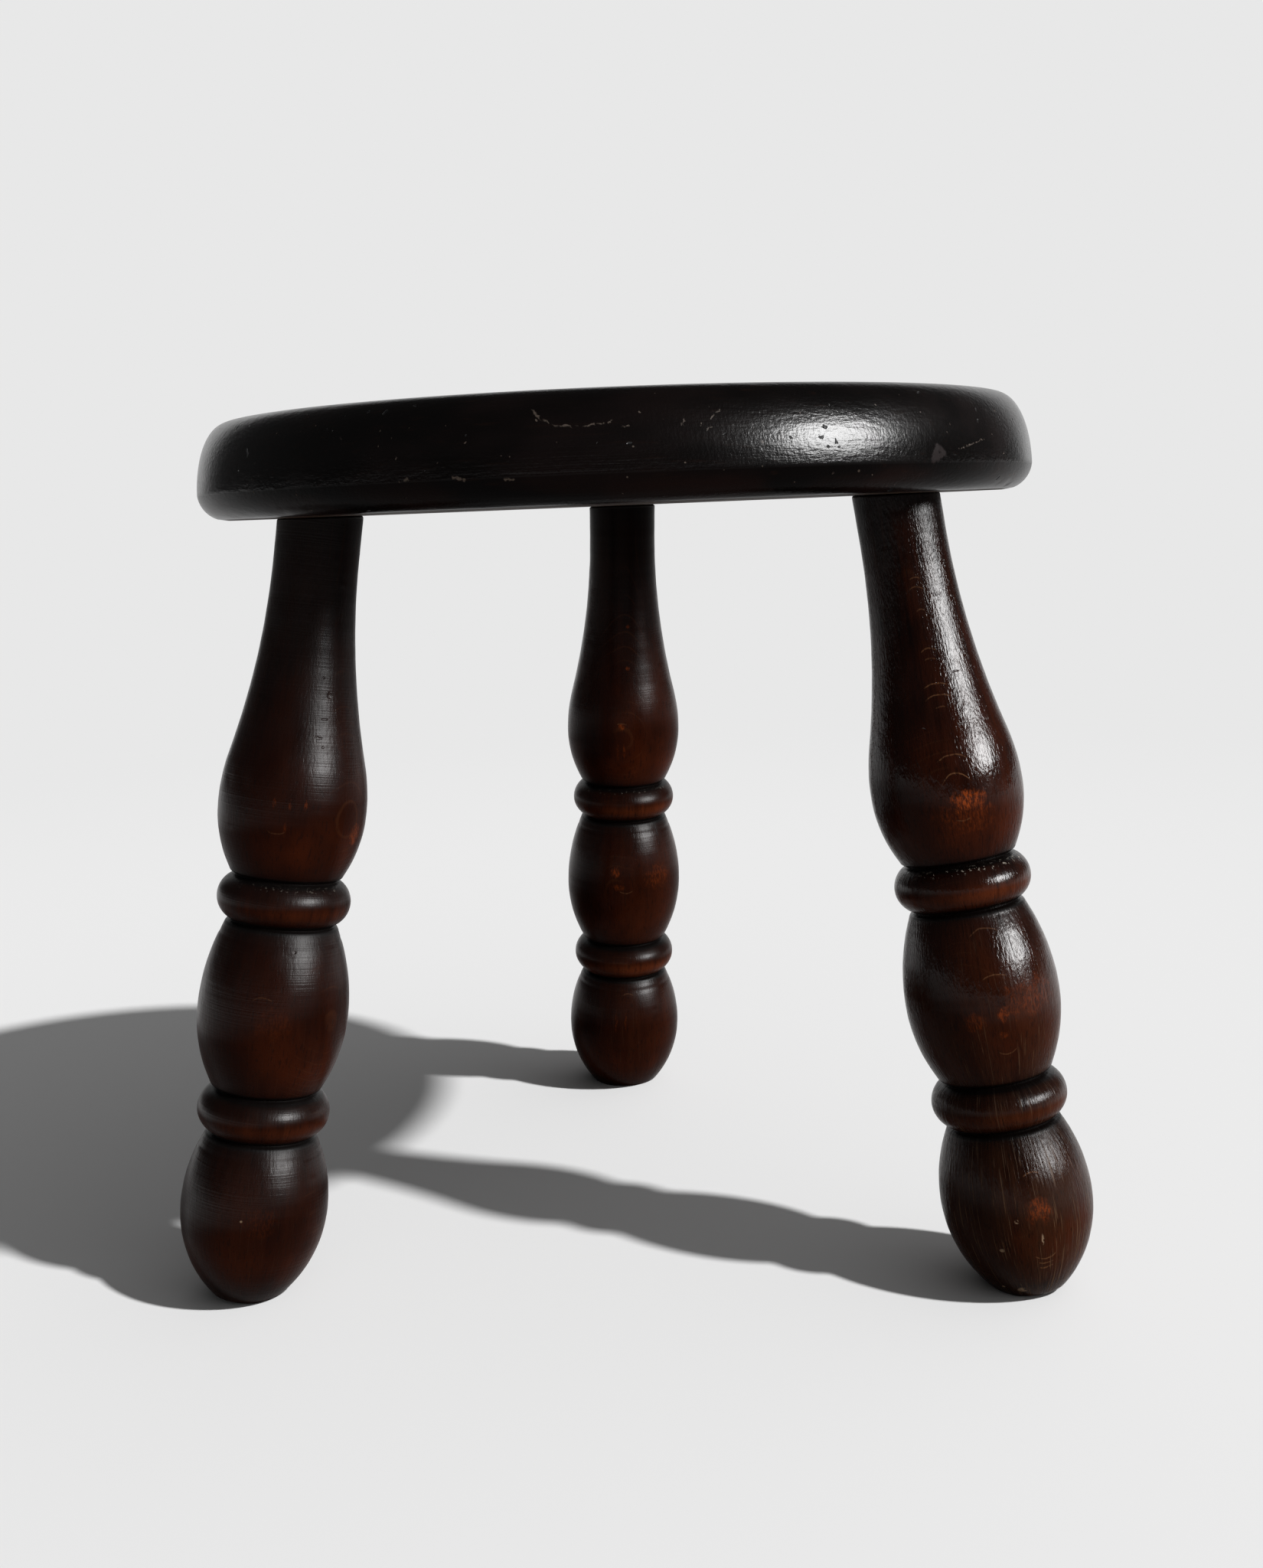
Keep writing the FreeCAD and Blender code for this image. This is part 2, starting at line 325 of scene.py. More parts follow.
# Marks on the legs. Arcs left by growth layers: depth below the seat, half length and sag in mm, strength.
# Spots: degrees round from the front, depth below the seat, half width and half height in mm, and for glows
# a strength.
LEG_ARCS = {
    "rear": (
        (86.0, 2.2, 0.8, 0.4),
        (158.5, 3.0, -1.0, 0.4),
        (205.0, 2.6, 0.8, 0.4),
    ),
    "left": (
        (98.5, 3.0, -1.0, 0.25),
        (150.0, 3.4, 1.2, 0.25),
    ),
    "right": (
        (26.8, 1.7, 0.5, 0.7),
        (29.6, 2.3, 0.9, 0.7),
        (36.5, 1.3, 0.6, 0.6),
        (48.4, 2.5, 0.9, 0.6),
        (51.4, 1.8, 0.5, 0.4),
        (59.0, 3.7, 1.0, 0.8),
        (62.5, 4.2, 1.3, 0.7),
        (66.3, 1.6, 0.2, 0.5),
        (80.6, 4.8, 2.0, 0.8),
        (86.2, 4.8, 3.6, 1.0),
        (100.8, 2.4, -0.5, 0.5),
        (134.5, 4.8, 2.2, 0.7),
        (148.4, 4.0, 1.2, 0.7),
        (173.4, 3.2, -1.6, 0.5),
        (210.8, 2.8, 1.0, 0.8),
        (238.6, 3.6, -1.6, 0.9),
        (240.3, 2.5, -0.5, 0.9),
        (241.9, 2.3, -0.4, 0.8),
    ),
}
LEG_GLOWS = {
    "rear": (
        (-11.0, 47.3, 0.7, 0.7, 0.3),
        (-9.6, 64.2, 0.9, 0.9, 0.45),
        (-2.1, 87.6, 1.3, 1.4, 0.45),
        (2.0, 98.0, 0.6, 3.5, 0.2),
        (-4.5, 97.6, 0.6, 3.5, 0.2),
        (5.2, 149.6, 1.8, 2.2, 0.4),
        (2.0, 156.0, 2.4, 1.4, 0.2),
        (-41.0, 152.6, 6.0, 5.0, 0.15),
        (5.0, 216.5, 0.6, 4.5, 0.15),
        (-5.2, 216.5, 0.6, 4.5, 0.15),
    ),
    "left": (
        (0.0, 89.5, 0.5, 1.8, 0.2),
        (-12.0, 89.3, 0.5, 1.8, 0.15),
        (-23.7, 89.3, 0.5, 1.8, 0.2),
        (-9.5, 97.2, 0.5, 2.8, 0.15),
        (-73.0, 98.0, 2.4, 3.0, 0.35),
        (-15.0, 158.0, 6.0, 5.0, 0.05),
        (-20.0, 222.0, 6.0, 5.0, 0.05),
    ),
    "right": (
        (-9.0, 95.4, 5.8, 3.6, 0.9),
        (-6.0, 100.0, 9.0, 5.0, 0.2),
        (-7.3, 160.6, 1.6, 2.6, 0.5),
        (14.0, 162.0, 3.4, 3.0, 0.25),
        (-5.0, 167.2, 1.2, 1.2, 0.2),
        (-32.0, 157.0, 9.0, 6.0, 0.22),
        (-9.0, 222.6, 4.0, 3.8, 0.5),
    ),
}
LEG_DENTS = {
    "rear": (
        (-20.0, 226.0, 0.7, 0.5),
        (10.0, 165.0, 0.5, 0.9),
    ),
    "left": (
        (-34.8, 49.6, 0.4, 0.4),
        (-41.4, 54.9, 0.8, 1.1),
        (-37.4, 62.3, 1.2, 0.3),
        (-31.8, 68.3, 1.3, 0.5),
        (-35.5, 71.2, 0.4, 0.4),
        (-28.0, 136.0, 0.5, 0.5),
    ),
    "right": (
        (-25.0, 56.5, 1.3, 0.3),
        (16.0, 72.0, 0.5, 0.5),
        (20.0, 232.0, 0.6, 1.2),
    ),
}
LEG_CHIPS = {
    "rear": (
        (200.0, 249.0, 0.8, 0.6),
        (120.0, 232.0, 0.5, 1.2),
    ),
    "left": (
        (-5.0, 222.0, 0.5, 0.4),
        (150.0, 250.0, 0.8, 0.6),
        (-120.0, 226.0, 0.5, 1.0),
    ),
    "right": (
        (8.7, 225.0, 0.6, 0.6),
        (24.0, 234.2, 0.8, 0.5),
        (-8.5, 231.6, 0.4, 2.0),
        (18.8, 250.4, 1.5, 1.1),
        (39.7, 249.2, 0.6, 0.5),
    ),
}

mounts = {m["name"]: Vector(m["pos_m"]) for m in frame["record"]["mounts"]}
seat_low, seat_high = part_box("seat")
UNDERSIDE = seat_low.z
TOP = seat_high.z
RIM = seat_high.x
random = np.random.default_rng(SEED)


def mesh_points(mesh):
    """Vertices of a mesh, in metres."""
    flat = np.empty(3 * len(mesh.vertices), np.float32)
    mesh.vertices.foreach_get("co", flat)
    return flat.reshape(-1, 3).astype(float)


def solid_points(node):
    """Vertices of a fixed solid, in metres."""
    return mesh_points(frame["nodes"][node].data)


def smooth_curve(x, y, at):
    """Shape-keeping cubic through the points (x, y), read at the places asked for."""
    step = np.diff(x)
    rise = np.diff(y) / step
    slope = np.zeros_like(y)
    same = rise[1:] * rise[:-1] > 0
    before, after = 2 * step[1:] + step[:-1], step[1:] + 2 * step[:-1]
    mean = (before + after) / (before / np.where(same, rise[:-1], 1) + after / np.where(same, rise[1:], 1))
    slope[1:-1] = np.where(same, mean, 0)
    slope[0], slope[-1] = rise[0], rise[-1]
    i = np.clip(np.searchsorted(x, at) - 1, 0, len(step) - 1)
    t = (at - x[i]) / step[i]
    hermite = (1 + 2 * t) * (1 - t) ** 2 * y[i] + t * (1 - t) ** 2 * step[i] * slope[i]
    return hermite + t * t * (3 - 2 * t) * y[i + 1] + t * t * (t - 1) * step[i] * slope[i + 1]


def merged(x, y, tol):
    """Points sorted by x, with those closer than the tolerance averaged into one."""
    order = np.argsort(x)
    x, y = x[order], y[order]
    group = np.concatenate([[0], np.cumsum(np.diff(x) > tol)])
    count = np.bincount(group)
    return np.bincount(group, x) / count, np.bincount(group, y) / count


def lattice_noise(points, cell, seed):
    """Smooth seeded noise from -1 to 1 at points, with features of about one cell."""
    p = points / cell
    corner = np.floor(p).astype(np.int64)
    f = p - corner
    f = f * f * (3 - 2 * f)
    total = np.zeros(len(p))
    for step in np.ndindex(2, 2, 2):
        key = seed * 2654435761
        for axis, prime in enumerate((73856093, 19349663, 83492791)):
            key = key ^ (corner[:, axis] + step[axis]) * prime
        key = (key ^ (key >> 13)) * 1274126177 & 0x7FFFFFFF
        value = (key ^ (key >> 16)) % 65536 / 32767.5 - 1
        near = np.where(step, f, 1 - f)
        total += value * (near[:, 0] * near[:, 1]) * near[:, 2]
    return total


def unevenness(points, slow_cell, fine_cell, seed):
    """How far a surface worked and handled for long strays, slowly and finely."""
    slow = SLOW_RISE * lattice_noise(points, slow_cell, seed)
    return slow + FINE_RISE * lattice_noise(points, fine_cell, seed + 2)


def ring_mesh(name, rings, matrix):
    """A closed mesh skinned over rings of points, with a fan at each end."""
    count, segments = rings.shape[0], rings.shape[1]
    body = rings.reshape(-1, 3)
    ends = np.stack([rings[0].mean(0), rings[-1].mean(0)])
    i, j = np.meshgrid(np.arange(count - 1), np.arange(segments), indexing="ij")
    k = (j + 1) % segments
    quads = np.stack([i * segments + j, i * segments + k, (i + 1) * segments + k, (i + 1) * segments + j], -1)
    j = np.arange(segments)
    k = (j + 1) % segments
    low, high, last = count * segments, count * segments + 1, (count - 1) * segments
    fans = [(low, b, a) for a, b in zip(j.tolist(), k.tolist())]
    fans += [(high, last + a, last + b) for a, b in zip(j.tolist(), k.tolist())]
    mesh = bpy.data.meshes.new(name)
    mesh.from_pydata(np.concatenate([body, ends]).tolist(), [], quads.reshape(-1, 4).tolist() + fans)
    mesh.shade_smooth()
    piece = bpy.data.objects.new(name, mesh)
    piece.matrix_world = matrix
    bpy.context.scene.collection.objects.link(piece)
    return piece


def cut(piece, cutter):
    """Take one closed mesh out of another, for good."""
    modifier = piece.modifiers.new("cut", "BOOLEAN")
    modifier.operation = "DIFFERENCE"
    modifier.solver = "EXACT"
    modifier.object = cutter
    bpy.context.view_layer.update()
    result = bpy.data.meshes.new_from_object(piece.evaluated_get(bpy.context.evaluated_depsgraph_get()))
    piece.modifiers.clear()
    old, piece.data = piece.data, result
    bpy.data.meshes.remove(old)
    bpy.data.objects.remove(cutter)


def crisp_edges(piece):
    """Smooth shading that breaks at sharp edges."""
    piece.data.shade_smooth()
    piece.data.set_sharp_from_angle(angle=math.radians(SHARP_EDGE_DEG))


def set_attribute(piece, name, values):
    """A number at each vertex, which the finish reads."""
    layer = piece.data.attributes.new(name, "FLOAT", "POINT")
    layer.data.foreach_set("value", np.asarray(values, np.float32))


def set_polish(piece, matrix, dull_to, blend):
    """Shine at each vertex, by how far the surface there leans up: 1 straight up, -1 straight down."""
    flat = np.empty(3 * len(piece.data.vertices), np.float32)
    piece.data.vertex_normals.foreach_get("vector", flat)
    lean = flat.reshape(-1, 3) @ np.array(matrix.to_3x3())[2]
    t = np.clip((lean - dull_to) / blend, 0, 1)
    set_attribute(piece, "polish", t * t * (3 - 2 * t))


def dress(piece, material):
    piece.data.materials.clear()
    piece.data.materials.append(material)


class LegFrame:
    """A leg's axis, outline and own axes, read from its fixed solid."""

    def __init__(self, side):
        self.side = side
        co = solid_points("leg_" + side)
        head = co[co[:, 2] > TOP - LEVEL_TOL]
        self.foot = mounts["foot_" + side]
        self.axis = (Vector((head.min(0) + head.max(0)) / 2) - self.foot).normalized()
        across = Vector((0, -1, 0)).cross(self.axis).normalized()
        front = self.axis.cross(across)
        self.matrix = Matrix((front, across, self.axis)).transposed().to_4x4()
        self.matrix.translation = self.foot
        local = (co - np.array(self.foot)) @ np.array([front, across, self.axis]).T
        height, radius = local[:, 2], np.hypot(local[:, 0], local[:, 1])
        at_head = (co[:, 2] > TOP - HEAD_ZONE) & (radius > 0)
        self.tenon = radius[at_head].max()
        turned = (radius > TURNED_OVER_TENON * self.tenon) & (co[:, 2] < UNDERSIDE - NECK_ZONE)
        self.heights, self.radii = merged(height[turned], radius[turned], OUTLINE_TOL)
        self.low = self.heights[0]
        self.up = np.array(self.matrix.to_3x3())[2]
        self.shoulder = (UNDERSIDE - self.foot.z) / self.up[2]
        self.groove_heights = self.find_grooves()

    def find_grooves(self):
        """Heights of the narrow cuts: the deepest points between the swellings."""
        r, h = self.radii, self.heights
        dips = [i for i in range(1, len(r) - 1) if r[i] < r[i - 1] and r[i] < r[i + 1]]
        return np.array([h[i] for i in dips if r[i] < self.tenon * GROOVE_UNDER_TENON])

    def outline(self, height):
        """The turned radius at a height, and the neck's above it."""
        return smooth_curve(self.heights, self.radii, np.minimum(height, self.heights[-1]))

    def slope(self, height):
        """How fast the leg widens upwards: above 0 below the crest of a swelling."""
        even = np.arange(self.low, self.shoulder, RING_STEP)
        rate = np.gradient(self.outline(even), even)
        return np.interp(height, even, np.convolve(rate, SLOPE_SMOOTHING, "same"))

    def level_height(self, x, y, z):
        """Height up the leg at which a line parallel to its axis meets a level plane."""
        return (z - self.foot.z - x * self.up[0] - y * self.up[1]) / self.up[2]

    def wave(self, points, height, radius, angle):
        """How far the surface strays from a true turning: tool ripples, shrinkage and handling."""
        ripple = np.zeros_like(height)
        for length, size in TOOL_RIPPLES_MM:
            ripple += size * MM * np.sin(2 * np.pi * height / (length * MM) + random.uniform(0, PHASE_RANGE))
        for groove in self.groove_heights[0::2]:
            below = groove - height
            ripple -= SCRIBED_LINE[self.side] * np.exp(-((below - SCRIBED_BELOW) / SCRIBED_HALF) ** 2)
        oval = OVAL_SHRINKAGE * radius * np.cos(2 * (angle - random.uniform(0, OVAL_TURN_RANGE)))
        return ripple + oval + unevenness(points, 26 * MM, 6 * MM, 3)

    def dents(self, points):
        """How deep the small knocks from use are."""
        depth = np.zeros(len(points))
        for _ in range(KNOCKS):
            at = points[random.integers(len(points))]
            size = random.uniform(*KNOCK_SIZE_MM) * MM
            away = np.linalg.norm((points - at) / np.array([1, 1, random.uniform(*KNOCK_LENGTH)]), axis=1)
            depth += random.uniform(*KNOCK_DEPTH_MM) * MM * np.exp(-(away / size) ** 2)
        return depth


def ring_heights(leg):
    """Where a leg's rings lie: evenly spaced, and closer in the grooves and at the shoulder."""
    even = np.arange(leg.low, leg.shoulder - RING_STEP, RING_STEP)
    close = np.concatenate([groove + GROOVE_RINGS for groove in leg.groove_heights])
    heights = np.unique(np.round(np.concatenate([even, close, leg.shoulder - SHOULDER_RINGS]), 6))
    return heights[np.concatenate([[True], np.diff(heights) > CLOSEST_RINGS])]


def turned_rings(leg):
    """The leg's surface as rings of points, from the floor to the top of its tenon."""
    heights = ring_heights(leg)
    radii = leg.outline(heights)
    in_round = np.clip(1 - (leg.shoulder - heights) / SHOULDER_ROUND, 0, 1)
    radii -= SHOULDER_ROUND * (1 - np.sqrt(1 - in_round ** 2))
    angle = np.linspace(0, 2 * np.pi, LEG_SEGMENTS, endpoint=False)
    h, a = [m.ravel() for m in np.meshgrid(heights, angle, indexing="ij")]
    r = np.repeat(radii, LEG_SEGMENTS)
    points = np.stack([r * np.cos(a), r * np.sin(a), h], 1)
    steady = np.clip((leg.shoulder - h) / STEADY_AT_SEAT, 0, 1)
    r = r + steady * (leg.wave(points, h, r, a) - leg.dents(points))
    x, y = r * np.cos(a), r * np.sin(a)
    scribed = np.clip(1 - (leg.shoulder - h) / SCRIBED_OVER, 0, 1) ** 2
    h = h + scribed * (leg.level_height(x, y, UNDERSIDE - LEVEL_TOL) - leg.shoulder)
    h = np.maximum(h, leg.level_height(x, y, 0))
    rings = np.stack([x, y, h], 1).reshape(-1, LEG_SEGMENTS, 3)
    x, y = leg.tenon * np.cos(angle), leg.tenon * np.sin(angle)
    root = np.stack([x, y, leg.level_height(x, y, UNDERSIDE - LEVEL_TOL)], 1)
    brink = np.stack([x, y, leg.level_height(x, y, TOP) - HEAD_EASED], 1)
    head = np.stack([HEAD_SHARE * x, HEAD_SHARE * y, leg.level_height(x, y, TOP)], 1)
    return np.concatenate([rings, [root, brink, head]])


def mark_leg(piece, leg):
    """Numbers at the leg's vertices that say where it is dirty and painted with shade, rubbed, painted with
    warm light from below, flaked and polished.
    """
    co = mesh_points(piece.data)
    height = co[:, 2]
    # Darkening round the grooves and below the seat: dirt and painted shade, reaching farther down from each
    # groove, where the bulb above shades the wood
    below = leg.groove_heights[None] - height[:, None]
    reach = np.where(below > 0, DIRT_SHADE_BELOW, DIRT_SHADE_ABOVE)
    grooves = (np.exp(-(below / DIRT_SHADE_CORE) ** 2) + DIRT_SHADE_SPREAD * np.exp(-np.abs(below) / reach)).max(1)
    under_seat = DIRT_SHADE_AT_SEAT * np.exp(-np.abs(height - leg.shoulder) / DIRT_SHADE_FROM_SEAT)
    set_attribute(piece, "dirt_and_shade", np.clip(np.maximum(grooves, under_seat), 0, 1))
    swell = np.hypot(co[:, 0], co[:, 1])
    set_attribute(piece, "rub", np.clip((swell / leg.tenon - RUB_FROM) / RUB_RANGE, 0, 1))
    # How far the surface faces down below a crest, where painted light from the floor warms the stain
    set_attribute(piece, "painted_underlight", np.clip((leg.slope(height) + UNDER_LEAD) / UNDER_RANGE, 0, 1))
    # Lips low on each ring, paler from rubbed stain and from painted light thrown up from the floor
    share = [(height - low) / (high - low) for low, high in leg.groove_heights.reshape(-1, 2)]
    set_attribute(piece, "lip", np.exp(-((np.array(share) - LIP_AT) / LIP_HALF) ** 2).max(0))
    off_brow = height - leg.groove_heights[-1] + BROW_BELOW
    set_attribute(piece, "flake", np.exp(-(off_brow / BROW_HALF) ** 2))
    down = np.clip(1 - height / leg.shoulder, 0, 1)
    dull_to = DULL_LEAN_TOP + (DULL_LEAN_FOOT - DULL_LEAN_TOP) * down
    set_polish(piece, leg.matrix, dull_to, POLISH_BLEND)


def make_leg(leg):
    """The turned leg from floor to the top of its tenon, with the slot for its wedge."""
    piece = ring_mesh("leg_" + leg.side + "_turned", turned_rings(leg), leg.matrix)
    cut(piece, wedge_slot(leg))
    crisp_edges(piece)
    mark_leg(piece, leg)
    return piece


def wedge_slot(leg):
    """The tapered slot that the wedge fills, a hair wider than the wedge."""
    co = solid_points("wedge_" + leg.side)
    inverse = np.array(leg.matrix.inverted())
    local = co @ inverse[:3, :3].T + inverse[:3, 3]
    across = inverse[:3, :3] @ np.array(Vector((0, 1, 0)).cross(leg.axis).normalized())
    along = np.cross([0, 0, 1], across)
    offset, height = local @ across, local[:, 2]
    tip, head = height.min(), height.max()
    half_tip = np.abs(offset[height < tip + TIP_ZONE]).max() + SLOT_SLACK
    half_head = np.abs(offset).max() + SLOT_SLACK
    spread = (half_head - half_tip) / (head - tip)
    widest = half_head + spread * SLOT_OVER
    levels = [(tip - SLOT_OVER, half_tip), (tip, half_tip), (head + SLOT_OVER, widest)]
    reach = 2 * leg.tenon
    corners = ((-1, -1), (1, -1), (1, 1), (-1, 1))
    rings = [[half * x * across + reach * y * along + [0, 0, z] for x, y in corners] for z, half in levels]
    return ring_mesh("slot", np.array(rings), leg.matrix)


def socket_cutter(leg):
    """A slanted cylinder through the seat for one tenon."""
    angle = np.linspace(0, 2 * np.pi, SOCKET_SEGMENTS, endpoint=False)
    radius = leg.tenon + SOCKET_SLACK
    ring = radius * np.stack([np.cos(angle), np.sin(angle), 0 * angle], 1)
    low, high = leg.shoulder - SOCKET_BELOW, leg.shoulder + SOCKET_ABOVE
    return ring_mesh("socket", np.stack([ring + [0, 0, low], ring + [0, 0, high]]), leg.matrix)


def seat_outline():
    """The seat's rounded edge from the underside to the top, as distances from the middle and heights."""
    co = solid_points("seat")
    radius = np.hypot(co[:, 0], co[:, 1])
    edge = radius > RIM - EDGE_ZONE
    radius, height = radius[edge], co[edge, 2]
    inner, middle = RIM - EDGE_PIVOT, (UNDERSIDE + TOP) / 2
    turn = np.arctan2(height - middle, radius - inner)
    r = merged(turn, radius, EDGE_TURN_TOL)[1]
    z = merged(turn, height, EDGE_TURN_TOL)[1]
    length = np.concatenate([[0], np.cumsum(np.hypot(np.diff(r), np.diff(z)))])
    at = np.linspace(0, length[-1], int(length[-1] / RING_STEP))
    return smooth_curve(length, r, at), smooth_curve(length, z, at)


def rubbed_edge(r, z):
    """The outline with its lower edge rubbed to a rounder curve, inside the solid's own."""
    out, down = r - (r.max() - RUBBED_ROUND), UNDERSIDE + RUBBED_ROUND - z
    corner = (out > 0) & (down > 0)
    share = np.where(corner, np.minimum(1, RUBBED_ROUND / np.maximum(np.hypot(out, down), LEVEL_TOL)), 1)
    return r - out * (1 - share), z + down * (1 - share)


def seat_mesh():
    """The round seat before its sockets are cut, with a worn edge and a top that isn't quite flat."""
    r, z = rubbed_edge(*seat_outline())
    flat = np.arange(FLAT_RING_FIRST, r[0] - 0.5 * FLAT_RING_STEP, FLAT_RING_STEP)
    flat_top = np.arange(FLAT_RING_FIRST, r[-1] - 0.5 * FLAT_RING_STEP, FLAT_RING_STEP)[::-1]
    r = np.concatenate([flat, r, flat_top])
    z = np.concatenate([np.full(len(flat), UNDERSIDE), z, np.full(len(flat_top), TOP)])
    angle = np.linspace(0, 2 * np.pi, SEAT_SEGMENTS, endpoint=False)
    radius, a = [m.ravel() for m in np.meshgrid(r, angle, indexing="ij")]
    height = np.repeat(z, SEAT_SEGMENTS)
    points = np.stack([radius * np.cos(a), radius * np.sin(a), height], 1)
    on_edge = np.clip((radius - (RIM - EDGE_ZONE)) / EDGE_BLEND, 0, 1)
    drift = unevenness(points, 34 * MM, 7 * MM, 11)
    lower = np.exp(-((height - UNDERSIDE - CHIP_ABOVE) / CHIP_HALF) ** 2) * on_edge
    chips = np.clip(lattice_noise(points, CHIP_CELL, 17) - 0.35, 0, 1)
    chipped = chips * np.clip(lattice_noise(points, CHIPPED_STRETCH, 19) + 0.3, 0, 1)
    inward = 1 + (drift - CHIP_DEPTH * lower * chipped) * on_edge / radius
    points[:, :2] *= inward[:, None]
    worn = (height > TOP - LEVEL_TOL) * (1 - on_edge)
    points[:, 2] += worn * TOP_WEAR * lattice_noise(points, TOP_CELL, 23)
    return ring_mesh("seat_board", points.reshape(-1, SEAT_SEGMENTS, 3), Matrix.Identity(4))


class Nodes:
    """Short ways to add and join the nodes of one material or of the world."""

    def __init__(self, owner, output="ShaderNodeOutputMaterial"):
        owner.use_nodes = True
        self.tree = owner.node_tree
        self.tree.nodes.clear()
        self.output = self.add(output)

    def add(self, kind, **settings):
        node = self.tree.nodes.new(kind)
        for key, value in settings.items():
            setattr(node, key, value)
        return node

    def put(self, socket, value):
        """Join a socket to another, or set its own value."""
        if isinstance(value, bpy.types.NodeSocket):
            self.tree.links.new(value, socket)
        else:
            socket.default_value = value

    def math(self, operation, a, b=0.0, c=0.0, clamp=False):
        node = self.add("ShaderNodeMath", operation=operation, use_clamp=clamp)
        for socket, value in zip(node.inputs, (a, b, c)):
            self.put(socket, value)
        return node.outputs[0]

    def times(self, product, *factors):
        """The product of two or more values."""
        for factor in factors:
            product = self.math("MULTIPLY", product, factor)
        return product

    def squares(self, a, b):
        """The sum of two squares."""
        return self.math("MULTIPLY_ADD", a, a, self.math("MULTIPLY", b, b))

    def vector(self, operation, a, b=(0, 0, 0), scale=None):
        node = self.add("ShaderNodeVectorMath", operation=operation)
        self.put(node.inputs[0], a)
        self.put(node.inputs[1], b)
        if scale is not None:
            self.put(node.inputs["Scale"], scale)
        return node.outputs["Value" if operation in ("LENGTH", "DOT_PRODUCT", "DISTANCE") else "Vector"]

    def axes(self, vector):
        """The three parts of a vector."""
        node = self.add("ShaderNodeSeparateXYZ")
        self.put(node.inputs[0], vector)
        return node.outputs["X"], node.outputs["Y"], node.outputs["Z"]

    def ramp(self, value, low, high, to_low=0.0, to_high=1.0, kind="SMOOTHSTEP"):
        """A value that runs from one number to another while its input runs from low to high."""
        node = self.add("ShaderNodeMapRange", interpolation_type=kind)
        for socket, number in zip(node.inputs, (value, low, high, to_low, to_high)):
            self.put(socket, number)
        return node.outputs[0]

    def mix(self, factor, a, b):
        node = self.add("ShaderNodeMix", data_type="RGBA")
        for name, value in (("Factor_Float", factor), ("A_Color", a), ("B_Color", b)):
            socket = next(s for s in node.inputs if s.identifier == name)
            self.put(socket, value)
        return next(s for s in node.outputs if s.identifier == "Result_Color")

    def noise(self, vector, scale, detail=2.0, rough=0.5, output="Fac"):
        node = self.add("ShaderNodeTexNoise")
        self.put(node.inputs["Vector"], vector)
        self.put(node.inputs["Scale"], scale)
        self.put(node.inputs["Detail"], detail)
        self.put(node.inputs["Roughness"], rough)
        return node.outputs[output]

    def mapped(self, vector, scale, turn=(0, 0, 0), shift=(0, 0, 0)):
        node = self.add("ShaderNodeMapping")
        self.put(node.inputs["Vector"], vector)
        node.inputs["Location"].default_value = shift
        node.inputs["Rotation"].default_value = turn
        node.inputs["Scale"].default_value = scale
        return node.outputs[0]

    def stretched(self, vector, stretch, detail=2.0, rough=0.5, turn=(0, 0, 0), shift=(0, 0, 0)):
        """Noise with its own fineness along each axis."""
        return self.noise(self.mapped(vector, stretch, turn, shift), 1.0, detail, rough)

    def attribute(self, name):
        return self.add("ShaderNodeAttribute", attribute_name=name).outputs["Fac"]

    def place(self):
        return self.add("ShaderNodeTexCoord").outputs["Object"]

    def bump(self, height, distance, normal=None, strength=1.0):
        node = self.add("ShaderNodeBump")
        node.inputs["Strength"].default_value = strength
        node.inputs["Distance"].default_value = distance
        self.put(node.inputs["Height"], height)
        if normal is not None:
            self.put(node.inputs["Normal"], normal)
        return node.outputs[0]

    def blend(self, factor, a, b):
        """Two shaders blended, as what the surface shows."""
        node = self.add("ShaderNodeMixShader")
        self.put(node.inputs[0], factor)
        self.put(node.inputs[1], a.outputs[0])
        self.put(node.inputs[2], b.outputs[0])
        self.show(node)

    def show(self, shader):
        self.tree.links.new(shader.outputs[0], self.output.inputs["Surface"])

    def finish(self, colour, roughness, normal, sheen=0.5):
        """Polished wood."""
        shader = self.add("ShaderNodeBsdfPrincipled")
        self.put(shader.inputs["Base Color"], colour)
        self.put(shader.inputs["Roughness"], roughness)
        self.put(shader.inputs["Normal"], normal)
        shader.inputs["IOR"].default_value = WOOD_IOR
        self.put(shader.inputs["Specular IOR Level"], sheen)
        self.show(shader)


def growth_layers(n, wood, pith):
    """Thin pale edges of the growth layers, round a pith that lies behind the leg."""
    x, y, _ = n.axes(wood)
    slow = n.stretched(wood, **LEG_NOISE["layers"])
    bend = n.times(n.math("SUBTRACT", slow, 0.5), LAYER_BEND)
    from_pith = n.math("SQRT", n.squares(n.math("ADD", x, pith), y))
    phase = n.math("FRACT", n.math("DIVIDE", n.math("ADD", from_pith, bend), LAYER_STEP))
    thin = n.times(n.ramp(phase, 0.78, 0.87), n.ramp(phase, 0.98, 0.90))
    off_face = n.ramp(n.math("ABSOLUTE", y), 5 * MM, 12 * MM, 1.0, 0.12)
    return n.times(thin, off_face)


def round_the_leg(n, place, shoulder):
    """Where a point lies on a leg: its turn, radius, depth below the seat, and itself moved to one radius."""
    x, y, z = n.axes(place)
    turn = n.math("ARCTAN2", y, x)
    level = n.vector("MULTIPLY", place, (1, 1, 0))
    radius = n.vector("LENGTH", level)
    out = n.vector("SCALE", n.vector("NORMALIZE", level), scale=LEG_GIRTH)
    on_drum = n.vector("ADD", out, n.vector("MULTIPLY", place, (0, 0, 1)))
    return turn, radius, n.math("SUBTRACT", shoulder, z), on_drum


def spot(n, where, mark):
    """How much a place on a leg belongs to an oval spot."""
    turn, radius, depth, fray = where
    turn_deg, depth_mm, across_mm, along_mm = mark[:4]
    arc = n.times(n.math("SUBTRACT", turn, math.radians(turn_deg)), radius)
    across = n.math("DIVIDE", arc, across_mm * MM)
    along = n.math("DIVIDE", n.math("SUBTRACT", depth, depth_mm * MM), along_mm * MM)
    strength = mark[4] if len(mark) > 4 else 1.0
    return n.ramp(n.math("ADD", n.squares(across, along), fray), 1.5, 0.0, 0.0, strength)


